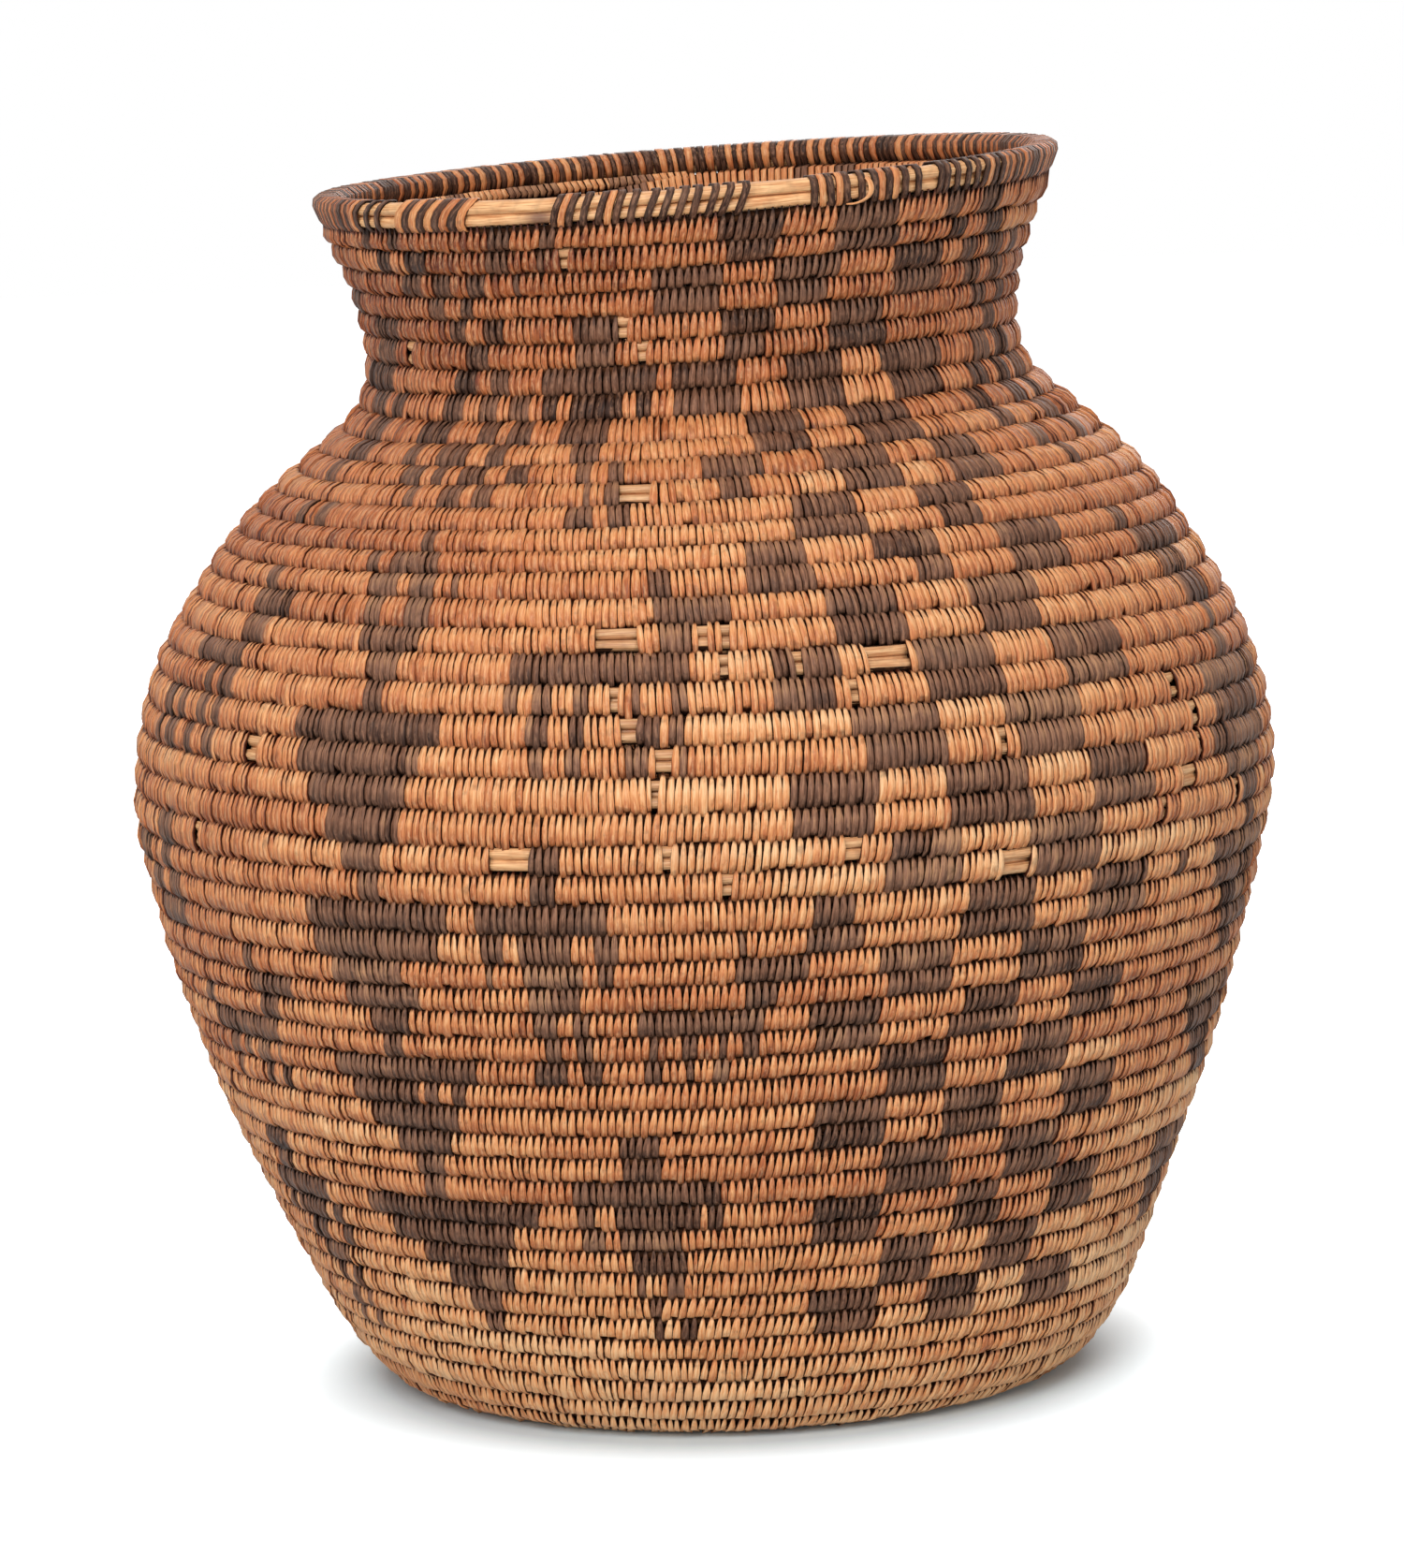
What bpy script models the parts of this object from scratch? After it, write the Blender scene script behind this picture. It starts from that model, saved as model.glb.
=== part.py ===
"""Coiled jar basket: one spiral coil from a flat base to a flared, lashed rim.

Metres, +Z up. The basket stands on z = 0 and the middle of its belly is on the Z axis. The wall is made
turn by turn. A place on it is given in turns below the rim. The coil falls by one turn in each round, so
a turn's lower edge is the upper edge of the next.
"""
import math

import bmesh
import bpy
from mathutils import Vector

# Driving sizes
BELLY_RADIUS = 0.1431
RIM_HEIGHT = 0.2961
COIL_THICKNESS = 0.0072
FIT_GAP = 0.0003
BASE_COIL_GAP = 0.00045
START_KNOT_RADIUS = 0.0095
START_KNOT_BEVEL = 0.0015
START_KNOT_GAP = 0.00043
SHOOT_RADIUS = 0.00145
LASHING_THICKNESS = 0.0006

# Turns of the coil in each part of the wall, from the rim down
WALL_PARTS = (("neck", 8), ("shoulder", 8), ("belly", 12), ("lower_wall", 14), ("foot", 6))
SEGMENTS = 20
FULL_TURN = math.radians(360)
SEAM_ANGLE = math.radians(-270)

# The flat where two turns meet as a share of the coil's thickness, the rounding of a base turn, and the
# share of a turn by which the coil's end runs on past the place where it meets the knot
SEAT_SHARE = 0.6
BASE_EDGE_SHARE = 0.2
BASE_END_SHARE = 0.5

# Outer face: turns below the rim, share of the belly's radius, share of the rim's height
PROFILE_SHARES = (
    (-1, 0.652, 1.019),
    (0, 0.635, 1.000),
    (3, 0.588, 0.944),
    (6, 0.568, 0.885),
    (8, 0.591, 0.843),
    (10, 0.666, 0.810),
    (13, 0.778, 0.760),
    (16, 0.860, 0.707),
    (20, 0.959, 0.620),
    (24, 1.000, 0.520),
    (28, 0.969, 0.425),
    (32, 0.924, 0.343),
    (36, 0.869, 0.259),
    (40, 0.799, 0.176),
    (44, 0.730, 0.096),
    (46, 0.692, 0.058),
    (48, 0.630, 0.016),
    (49, 0.583, 0.002),
    (50, 0.535, 0.000),
    (61, 0.0015, 0.000),
)

# Lean of the hand-made wall: turns below the rim, sideways shift as a share of the belly's radius, and
# rise to the right and to the back in each unit of radius
LEAN_SHARES = (
    (-1, 0.004, 0.039, 0.024),
    (6, 0.004, 0.039, 0.021),
    (12, 0.002, 0.025, 0.000),
    (20, 0.000, 0.002, 0.000),
    (30, 0.000, 0.019, 0.000),
    (40, 0.007, 0.009, 0.000),
    (47, 0.020, 0.000, 0.000),
    (48, 0.020, 0.000, 0.000),
    (61, 0.020, 0.000, 0.000),
)

# Lashed stretches of the rim and ends of its shoots, counted in segments from the right-hand side
LASHINGS = (("rim_lashing_right", -4, 1), ("rim_lashing_back", 1, 9), ("rim_lashing_left", 9, 13))
SHOOTS = (("rim_shoot_lower", 6), ("rim_shoot_upper", 3), ("rim_shoot_inner", 7))

TAN_SPLINT = (0.55, 0.29, 0.14)
DARK_SPLINT = (0.07, 0.045, 0.035)
PEELED_SHOOT = (0.68, 0.42, 0.20)


def clear_scene():
    for item in list(bpy.data.objects):
        bpy.data.objects.remove(item, do_unlink=True)


def wood(name, colour, roughness):
    material = bpy.data.materials.new(name)
    material.use_nodes = True
    shader = material.node_tree.nodes["Principled BSDF"]
    shader.inputs["Base Color"].default_value = (*colour, 1.0)
    shader.inputs["Roughness"].default_value = roughness
    shader.inputs["Metallic"].default_value = 0.0
    return material


def between(table, turns):
    """Smooth values from a table's columns at a number of turns, by cubic Hermite steps."""
    place = 0
    while place < len(table) - 2 and turns > table[place + 1][0]:
        place += 1
    start, end = table[place], table[place + 1]
    before = table[max(place - 1, 0)]
    after = table[min(place + 2, len(table) - 1)]
    span = end[0] - start[0]
    step = min(max((turns - start[0]) / span, 0), 1)
    ease_end = step**2 * (3 - 2 * step)
    ease_in = step * (1 - step) ** 2
    ease_out = step**2 * (step - 1)
    values = []
    for column in range(1, len(start)):
        slope_in = (end[column] - before[column]) / (end[0] - before[0])
        slope_out = (after[column] - start[column]) / (after[0] - start[0])
        level = start[column] + ease_end * (end[column] - start[column])
        values.append(level + span * (ease_in * slope_in + ease_out * slope_out))
    return values


def profile_point(turns):
    """Radius and height of the wall's outer face."""
    radius_share, height_share = between(PROFILE_SHARES, turns)
    return Vector((radius_share * BELLY_RADIUS, max(height_share, 0) * RIM_HEIGHT))


def floor_turn_at(radius):
    """The number of turns at which the floor has come in to a radius, by halving."""
    outer, inner = PROFILE_SHARES[-2][0], PROFILE_SHARES[-1][0]
    for _ in range(40):
        middle = (outer + inner) / 2
        if profile_point(middle).x > radius:
            outer = middle
        else:
            inner = middle
    return middle


def profile_frame(turns):
    """The outer face's point, with the direction down the wall and the one straight out of it."""
    nudge = 0.05
    down = (profile_point(turns + nudge) - profile_point(turns - nudge)).normalized()
    return profile_point(turns), down, Vector((-down.y, down.x))


def to_space(place, turns, angle):
    """A radius and height as a point in space, on the wall as it leans."""
    shift, rise_right, rise_back = between(LEAN_SHARES, turns)
    x = place.x * math.cos(angle)
    y = place.x * math.sin(angle)
    return Vector((x + shift * BELLY_RADIUS, y, place.y + rise_right * x + rise_back * y))


def wall_section(upper, lower, angle):
    """The six corners of a wall turn, from its outer upper one round by the outside."""
    half_seat = COIL_THICKNESS * SEAT_SHARE / 2
    seats = []
    for turns, inset in ((upper, FIT_GAP / 2), (lower, -FIT_GAP / 2)):
        face, down, outward = profile_frame(turns)
        middle = face - outward * COIL_THICKNESS / 2 + down * inset
        seats.append([to_space(middle + outward * side, turns, angle) for side in (half_seat, -half_seat)])
    crest = (upper + lower) / 2
    face, down, outward = profile_frame(crest)
    outer_crest = to_space(face, crest, angle)
    inner_crest = to_space(face - outward * COIL_THICKNESS, crest, angle)
    return [seats[0][0], outer_crest, seats[1][0], seats[1][1], inner_crest, seats[0][1]]


def base_section(upper, lower, angle):
    """The six corners of a base turn, which is flat above and below and comes to an edge at each side."""
    edges = []
    for turns, inset in ((upper, BASE_COIL_GAP / 2), (lower, -BASE_COIL_GAP / 2)):
        face, down, outward = profile_frame(turns)
        edges.append(to_space(face - outward * COIL_THICKNESS / 2 + down * inset, turns, angle))
    flats = []
    for turns in (upper + BASE_EDGE_SHARE, lower - BASE_EDGE_SHARE):
        face, down, outward = profile_frame(turns)
        flats.append([to_space(face - outward * depth, turns, angle) for depth in (0, COIL_THICKNESS)])
    return [edges[0], flats[0][0], flats[1][0], edges[1], flats[1][1], flats[0][1]]


def rim_point(out, up, angle):
    """A point near the rim, given from the middle of the wall's top edge."""
    face, down, outward = profile_frame(0)
    return to_space(face + outward * (out - COIL_THICKNESS / 2) - down * up, 0, angle)


def add_body(name, mesh, material):
    bmesh.ops.recalc_face_normals(mesh, faces=mesh.faces)
    data = bpy.data.meshes.new(name)
    mesh.to_mesh(data)
    mesh.free()
    data.materials.append(material)
    item = bpy.data.objects.new(name, data)
    bpy.context.collection.objects.link(item)
    return item


def body_along(name, sections, material, hollow=False):
    """A closed body: its first section is extruded from each section to the next.

    A hollow body's sections hold the outer loop's points and then as many of the inner loop.
    """
    mesh = bmesh.new()
    number = mesh.verts.layers.int.new("corner")
    verts = [mesh.verts.new(point) for point in sections[0]]
    for corner, vert in enumerate(verts):
        vert[number] = corner
    if hollow:
        half = len(verts) // 2
        loops = (verts[:half], verts[half:])
        edges = [mesh.edges.new((loop[i - 1], loop[i])) for loop in loops for i in range(half)]
        front = bmesh.ops.bridge_loops(mesh, edges=edges)["faces"]
    else:
        front = [mesh.faces.new(verts)]
    for place, section in enumerate(sections[1:]):
        pushed = bmesh.ops.extrude_face_region(mesh, geom=front)
        if place:
            bmesh.ops.delete(mesh, geom=front, context="FACES_ONLY")
        front = [part for part in pushed["geom"] if isinstance(part, bmesh.types.BMFace)]
        for part in pushed["geom"]:
            if isinstance(part, bmesh.types.BMVert):
                part.co = section[part[number]]
    return add_body(name, mesh, material)


def round_angles(start, steps, radius):
    """Angles from a start through a number of segments, drawn in by half a gap at both ends."""
    inset = FIT_GAP / 2 / radius
    angles = [start + FULL_TURN * step / SEGMENTS for step in range(steps + 1)]
    return [angles[0] + inset] + angles[1:-1] + [angles[-1] - inset]


def add_wall_turns(tan_splint, dark_splint):
    """The wall's turns, named from the foot up in each part; the top one is drawn level for the rim."""
    turn = 0
    for part, count in WALL_PARTS:
        for place in range(count):
            sections = []
            angles = round_angles(SEAM_ANGLE, SEGMENTS, profile_point(turn).x)
            for angle in angles:
                lower = turn + 0.5 + (angle - SEAM_ANGLE) / FULL_TURN
                upper = lower - 1 if turn else 0
                sections.append(wall_section(upper, lower, angle))
            splint = dark_splint if part == "neck" and place == 0 else tan_splint
            body_along(f"{part}_turn_{count - place:02d}", sections, splint)
            turn += 1
    return turn


def add_base_coil(wall_turns, tan_splint):
    """The floor: the same coil wound flat, in one length that thins where it meets the start knot."""
    first_lower = wall_turns + 0.5
    inner_turn = floor_turn_at(START_KNOT_RADIUS + START_KNOT_GAP)
    steps = round((inner_turn + BASE_END_SHARE - first_lower) * SEGMENTS)
    sections = []
    for angle in round_angles(SEAM_ANGLE, steps, profile_point(wall_turns).x):
        lower = first_lower + (angle - SEAM_ANGLE) / FULL_TURN
        sections.append(base_section(lower - 1, min(lower, inner_turn), angle))
    gaps = [
        (near - far).length
        for outer, inner in zip(sections, sections[SEGMENTS:])
        for near in outer
        for far in inner
    ]
    print(f"least gap between turns of base_coil: {min(gaps) * 1000:.2f} mm")
    body_along("base_coil", sections, tan_splint)


def add_start_knot(tan_splint):
    """The start of the coil: a small flat button in the middle of the floor."""
    mesh = bmesh.new()
    bmesh.ops.create_cone(
        mesh,
        cap_ends=True,
        segments=SEGMENTS,
        radius1=START_KNOT_RADIUS,
        radius2=START_KNOT_RADIUS,
        depth=COIL_THICKNESS,
    )
    rims = [edge for edge in mesh.edges if abs(edge.verts[0].co.z - edge.verts[1].co.z) < FIT_GAP]
    bmesh.ops.bevel(
        mesh, geom=rims, offset=START_KNOT_BEVEL, segments=1, profile=0.5, affect="EDGES", material=-1
    )
    middle = to_space(Vector((0, COIL_THICKNESS / 2)), PROFILE_SHARES[-1][0], 0)
    item = add_body("start_knot", mesh, tan_splint)
    item.location = middle


def add_rim(tan_splint, shoot_wood):
    """Three shoots round the mouth, and the splint wound round them where it is whole."""
    tube_radius = SHOOT_RADIUS + FIT_GAP
    corner_step = math.radians(40)
    reach = 1 / math.cos(corner_step / 2)
    lowest = FIT_GAP / 2 + (tube_radius + LASHING_THICKNESS) * reach
    spacing = 2 * SHOOT_RADIUS + FIT_GAP
    across = spacing * math.cos(math.radians(30))
    centres = [
        Vector((across / 2, lowest)),
        Vector((across / 2, lowest + spacing)),
        Vector((-across / 2, lowest + spacing / 2)),
    ]
    rim_radius = profile_point(0).x
    for (name, start), centre in zip(SHOOTS, centres):
        sections = []
        for angle in round_angles(FULL_TURN * start / SEGMENTS, SEGMENTS, rim_radius):
            section = []
            for corner in range(6):
                turned = FULL_TURN * corner / 6
                out = centre.x + SHOOT_RADIUS * math.cos(turned)
                up = centre.y + SHOOT_RADIUS * math.sin(turned)
                section.append(rim_point(out, up, angle))
            sections.append(section)
        body_along(name, sections, shoot_wood)

    for name, start, end in LASHINGS:
        sections = []
        for angle in round_angles(FULL_TURN * start / SEGMENTS, end - start, rim_radius):
            section = []
            for radius in (tube_radius + LASHING_THICKNESS, tube_radius):
                for side, centre in zip((-120, 0, 120), centres):
                    for corner in range(4):
                        turned = math.radians(side) + corner_step * corner
                        out = centre.x + radius * reach * math.cos(turned)
                        up = centre.y + radius * reach * math.sin(turned)
                        section.append(rim_point(out, up, angle))
            sections.append(section)
        body_along(name, sections, tan_splint, hollow=True)


clear_scene()
tan_splint = wood("tan_splint", TAN_SPLINT, 0.55)
dark_splint = wood("dark_splint", DARK_SPLINT, 0.5)
shoot_wood = wood("peeled_shoot", PEELED_SHOOT, 0.6)
wall_turns = add_wall_turns(tan_splint, dark_splint)
add_base_coil(wall_turns, tan_splint)
add_start_knot(tan_splint)
add_rim(tan_splint, shoot_wood)
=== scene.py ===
"""Coiled jar basket: peeled shoots sewn into one spiral coil with light and dark splints.

Metres, +Z up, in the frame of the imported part. The wall is given in turns of the coil below the rim, as the
part's own sizes give it, so each stitch lies on the turn that it replaces.
"""
import math

import bmesh
import bpy
import numpy as np
from mathutils import Matrix, Vector


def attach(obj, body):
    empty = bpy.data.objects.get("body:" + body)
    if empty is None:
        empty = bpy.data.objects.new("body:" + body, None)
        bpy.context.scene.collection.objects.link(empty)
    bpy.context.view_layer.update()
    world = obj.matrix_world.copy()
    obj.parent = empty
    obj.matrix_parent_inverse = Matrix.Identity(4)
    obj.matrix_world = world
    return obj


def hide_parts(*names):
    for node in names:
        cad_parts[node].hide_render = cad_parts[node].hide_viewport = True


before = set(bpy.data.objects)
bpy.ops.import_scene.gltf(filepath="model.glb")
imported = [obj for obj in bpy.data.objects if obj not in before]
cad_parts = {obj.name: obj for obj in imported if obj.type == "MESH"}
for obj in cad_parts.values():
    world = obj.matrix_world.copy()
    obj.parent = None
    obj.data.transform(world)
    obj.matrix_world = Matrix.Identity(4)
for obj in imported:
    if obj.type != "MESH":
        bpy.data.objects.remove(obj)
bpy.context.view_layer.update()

# The studio: a pale floor under a white surround, a broad soft lamp above the front, and the camera at the
# height of the basket's neck, 1.5 m away, turned a little, so that the basket leans to the left.
CAMERA_PLACE = (-0.00086, -1.5, 0.346611)
CAMERA_PITCH = 0.131304
CAMERA_ROLL = 0.0375
CAMERA_LENS = 137.42
FLOOR_SIZE = 12.0
FLOOR_WHITE = "#dff0f8"
# The floor keeps the shadow round the foot's middle, and clears to white between these distances in metres
FOOT_MIDDLE = (0.002, -0.002, 0.0)
SHADOW_EDGE = (0.088, 0.124)
SURROUND_LIGHT = 0.28
LAMP_AIM = (0.0, 0.0, 0.15)
LAMPS = (
    # name, place, side in metres and power in watts
    ("key_lamp", (-0.35, -1.8, 1.2), 1.0, 29.0),
    ("low_left_lamp", (-1.4, -1.0, 0.25), 1.0, 4.5),
    ("low_right_lamp", (1.4, -1.0, 0.25), 1.0, 4.5),
    ("top_lamp", (0.1, 0.5, 1.8), 1.2, 7.0),
    ("back_lamp", (0.5, 1.8, 0.9), 1.2, 9.0),
)


def linear(hex_colour):
    """An sRGB hex colour as linear red, green, blue and alpha."""
    parts = [int(hex_colour[place : place + 2], 16) / 255 for place in (1, 3, 5)]
    return (*[part / 12.92 if part <= 0.04045 else ((part + 0.055) / 1.055) ** 2.4 for part in parts], 1)


def add_node(tree, kind, inputs=None, **settings):
    """One shader node with its settings, and its inputs as values or as other nodes' outputs."""
    made = tree.nodes.new("ShaderNode" + kind)
    for name, value in settings.items():
        setattr(made, name, value)
    for name, value in (inputs or {}).items():
        if isinstance(value, bpy.types.NodeSocket):
            tree.links.new(value, made.inputs[name])
        else:
            made.inputs[name].default_value = value
    return made


def mix(tree, share, first, second):
    """The colour that a share leads to, from the first towards the second."""
    inputs = {"Fac": share, "Color1": first, "Color2": linear(second)}
    return add_node(tree, "MixRGB", inputs).outputs["Color"]


def put_in_scene(name, data):
    """A new object in the scene."""
    item = bpy.data.objects.new(name, data)
    bpy.context.scene.collection.objects.link(item)
    return item


def start_material(name):
    """A new material with its node tree and its shader."""
    material = bpy.data.materials.new(name)
    material.use_nodes = True
    return material, material.node_tree, material.node_tree.nodes["Principled BSDF"]


camera_data = bpy.data.cameras.new("camera")
camera_data.lens = CAMERA_LENS
camera = put_in_scene("camera", camera_data)
camera.rotation_mode = "QUATERNION"
camera.location = CAMERA_PLACE
aim = Matrix.Rotation(math.pi / 2 - CAMERA_PITCH, 4, "X") @ Matrix.Rotation(-CAMERA_ROLL, 4, "Z")
camera.rotation_quaternion = aim.to_quaternion()
bpy.context.scene.camera = camera
bpy.context.scene.view_settings.view_transform = "Standard"

world = bpy.data.worlds.new("surround")
world.use_nodes = True
tree = world.node_tree
ray = add_node(tree, "LightPath")
seen = add_node(tree, "Math", {0: ray.outputs["Is Camera Ray"], 1: ray.outputs["Is Glossy Ray"]},
                operation="MAXIMUM")
seen = add_node(tree, "Math", {0: seen.outputs[0], 1: ray.outputs["Is Transmission Ray"]},
                operation="MAXIMUM")
strength = add_node(tree, "MapRange", {"Value": seen.outputs[0], "To Min": SURROUND_LIGHT, "To Max": 1.0})
tree.nodes["Background"].inputs["Color"].default_value = (1, 1, 1, 1)
tree.links.new(strength.outputs[0], tree.nodes["Background"].inputs["Strength"])
bpy.context.scene.world = world

# Matt paint on the floor, which scatters all light and has no shine
floor_paint, tree, shader = start_material("matt_white_floor")
shader.inputs["Base Color"].default_value = linear(FLOOR_WHITE)
shader.inputs["Roughness"].default_value = 0.9
shader.inputs["Specular IOR Level"].default_value = 0.0
place = add_node(tree, "TexCoord")
distance = add_node(tree, "VectorMath", {0: place.outputs["Object"], 1: FOOT_MIDDLE}, operation="DISTANCE")
clear = add_node(tree, "MapRange", {"Value": distance.outputs["Value"],
                 "From Min": SHADOW_EDGE[0], "From Max": SHADOW_EDGE[1], "To Min": 0.02, "To Max": 1.0})
ray = add_node(tree, "LightPath")
glow = add_node(tree, "Math", {0: ray.outputs["Is Camera Ray"], 1: clear.outputs[0]}, operation="MULTIPLY")
shader.inputs["Emission Color"].default_value = (1, 1, 1, 1)
tree.links.new(glow.outputs[0], shader.inputs["Emission Strength"])
mesh = bmesh.new()
bmesh.ops.create_grid(mesh, x_segments=1, y_segments=1, size=FLOOR_SIZE / 2)
floor_data = bpy.data.meshes.new("floor")
mesh.to_mesh(floor_data)
mesh.free()
floor_data.materials.append(floor_paint)
floor = put_in_scene("floor", floor_data)

for name, place, size, power in LAMPS:
    lamp_data = bpy.data.lights.new(name, "AREA")
    lamp_data.size = size
    lamp_data.energy = power
    lamp = put_in_scene(name, lamp_data)
    lamp.location = place
    lamp.rotation_mode = "QUATERNION"
    lamp.rotation_quaternion = (Vector(LAMP_AIM) - Vector(place)).to_track_quat("-Z", "Y")

# The foundation: three peeled shoots that run together through the whole coil, from the knot in the middle
# of the floor to the rim. They show only as dark depths between the stitches, and are painted dark brown as
# shade.
BELLY_RADIUS = 0.1431
RIM_HEIGHT = 0.2961
# How far the floor's stitches lie inside the part's flat underside, and the turns over which they sink
FLOOR_SINK = 0.00085
FLOOR_BEND = (46.4, 48.2)
SEAM_ANGLE = math.radians(-270)
FULL_TURN = math.radians(360)
# In turns below the rim: where the sewing and the shoots end, where the coil's lower edge meets the start
# knot, and where the coil itself thins out
SEWING_END = 0.002
SHOOT_END = 0.004
INNER_TURN = 59.62
COIL_END = 60.04
# The shoots' side of the turn's middle, and depth
SHOOT_SPOTS = ((-1, 0.0023), (1, 0.0023), (0, 0.0050))
SHOOT_SHARE = 0.25
SHOOT_SIDES = 6
FOUNDATION_RADIUS = 0.00145
FOUNDATION_POINTS = 4200
# Turns below the rim, radius as a share of the belly's, and height as a share of the rim's
PROFILE_SHARES = (
    (-1, 0.652, 1.019), (0, 0.635, 1.000), (3, 0.588, 0.944), (6, 0.568, 0.885), (8, 0.591, 0.843),
    (10, 0.666, 0.810), (13, 0.778, 0.760), (16, 0.860, 0.707), (20, 0.959, 0.620), (24, 1.000, 0.520),
    (28, 0.969, 0.425), (32, 0.924, 0.343), (36, 0.869, 0.259), (40, 0.799, 0.176), (44, 0.730, 0.096),
    (46, 0.692, 0.058), (48, 0.630, 0.016), (49, 0.583, 0.002), (50, 0.535, 0.000), (61, 0.0015, 0.000),
)
# How the wall leans: turns below the rim, its shift to the right, and its rise to the right and to the back
LEAN_SHARES = (
    (-1, 0.004, 0.039, 0.024), (6, 0.004, 0.039, 0.021), (12, 0.002, 0.025, 0.000),
    (20, 0.000, 0.002, 0.000), (30, 0.000, 0.019, 0.000), (40, 0.007, 0.009, 0.000),
    (47, 0.020, 0.000, 0.000), (48, 0.020, 0.000, 0.000), (61, 0.020, 0.000, 0.000),
)


def between(table, turns):
    """Smooth values from a table's columns at many numbers of turns, by cubic Hermite steps."""
    table = np.array(table, float)
    place = np.clip(np.searchsorted(table[:, 0], turns) - 1, 0, len(table) - 2)
    start, end = table[place], table[place + 1]
    before = table[np.maximum(place - 1, 0)]
    after = table[np.minimum(place + 2, len(table) - 1)]
    span = (end - start)[:, :1]
    step = np.clip((turns[:, None] - start[:, :1]) / span, 0, 1)
    slope_in = ((end - before) / (end - before)[:, :1])[:, 1:]
    slope_out = ((after - start) / (after - start)[:, :1])[:, 1:]
    level = (start + step**2 * (3 - 2 * step) * (end - start))[:, 1:]
    return level + span * (step * (1 - step) ** 2 * slope_in + step**2 * (step - 1) * slope_out)


def profile_point(turns):
    """Radius and height of the wall's outer face."""
    shares = between(PROFILE_SHARES, turns)
    return np.stack([shares[:, 0] * BELLY_RADIUS, np.maximum(shares[:, 1], 0) * RIM_HEIGHT], 1)


def wall_point(turns, angle, depth, up=0.0):
    """Points at a depth under the wall's outer face, at a number of turns below the rim, as it leans, and at
    a height over that, along the wall."""
    down = profile_point(turns + 0.05) - profile_point(turns - 0.05)
    down /= np.linalg.norm(down, axis=1)[:, None]
    outward = np.stack([-down[:, 1], down[:, 0]], 1)
    face = profile_point(turns) - outward * np.asarray(depth)[:, None]
    radius, height = (face - down * np.reshape(up, (-1, 1))).T
    shift, rise_right, rise_back = between(LEAN_SHARES, turns).T
    x, y = radius * np.cos(angle), radius * np.sin(angle)
    return np.stack([x + shift * BELLY_RADIUS, y, height + rise_right * x + rise_back * y], 1)


def hand_sway(run):
    """How far a turn's lower edge strays, in turns, because the hand leaves it thicker and thinner."""
    return 0.04 * np.sin(2.27 * run) + 0.03 * np.sin(5.43 * run + 1)


def turn_edges(run):
    """Where a turn's upper and lower edges lie, in turns below the rim. The first turn reaches up to the rim
    all round, and the last one thins where it meets the start knot."""
    turns = run / FULL_TURN
    upper = np.interp(turns, (0, 1, 1.04, 99), (0, 0, 0.54, 98.5))
    upper = upper + (turns > 1.04) * hand_sway(run - FULL_TURN)
    return upper, np.minimum(turns + 0.5 + hand_sway(run), INNER_TURN)


def coil_point(run, across, depth):
    """Points on the coil. run is the angle wound from the rim's seam, and across goes from a turn's upper
    edge at 0 to its lower edge at 1."""
    upper, lower = turn_edges(run)
    depth = depth + np.interp(run / FULL_TURN, FLOOR_BEND, (0, FLOOR_SINK))
    return wall_point(upper + across * (lower - upper), run + SEAM_ANGLE, depth)


def shoot_line(run, side, depth):
    """The middle line of one of the coil's shoots, which keeps its own thickness from the turn's edge."""
    upper, lower = turn_edges(run)
    return coil_point(run, 0.5 + side * np.maximum(0.5 - SHOOT_SHARE / (lower - upper), 0.02),
                      np.full(len(run), depth))


def finish_piece(name, data, material, slot, *nodes):
    """Puts a mesh in the scene with its material, tied to the basket, and hides the solids it stands for."""
    data.materials.clear()
    data.materials.append(material)
    item = put_in_scene(name, data)
    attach(item, "root")
    if nodes:
        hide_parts(*nodes)


def take_mesh(item):
    """The mesh of a curve or of live modifiers, once they have done their work."""
    data = bpy.data.meshes.new_from_object(item.evaluated_get(bpy.context.evaluated_depsgraph_get()))
    bpy.data.objects.remove(item)
    return data


def tube(name, lines, radius, sides=SHOOT_SIDES):
    """Closed round shoots along lines of points, made by a curve's bevel and turned to a mesh. Their girth
    comes and goes a little, as a real shoot's does."""
    curve = bpy.data.curves.new(name, "CURVE")
    curve.dimensions = "3D"
    curve.bevel_depth = radius
    curve.bevel_resolution = (sides - 4) // 2
    for line in lines:
        spline = curve.splines.new("POLY")
        spline.points.add(len(line) - 1)
        spline.points.foreach_set("co", np.column_stack([line, np.ones(len(line))]).ravel())
        # Swellings that lie about 13 and 41 mm apart
        spots = line @ (37.0, 51.0, 23.0)
        swell = 0.035 * np.sin(2.3 * spots) + 0.025 * np.sin(7.1 * spots)
        spline.points.foreach_set("radius", 1 + swell)
    data = take_mesh(put_in_scene(name, curve))
    bpy.data.curves.remove(curve)
    closed = bmesh.new()
    closed.from_mesh(data)
    bmesh.ops.holes_fill(closed, edges=[edge for edge in closed.edges if edge.is_boundary], sides=sides)
    bmesh.ops.recalc_face_normals(closed, faces=closed.faces)
    closed.to_mesh(data)
    closed.free()
    return data


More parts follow.
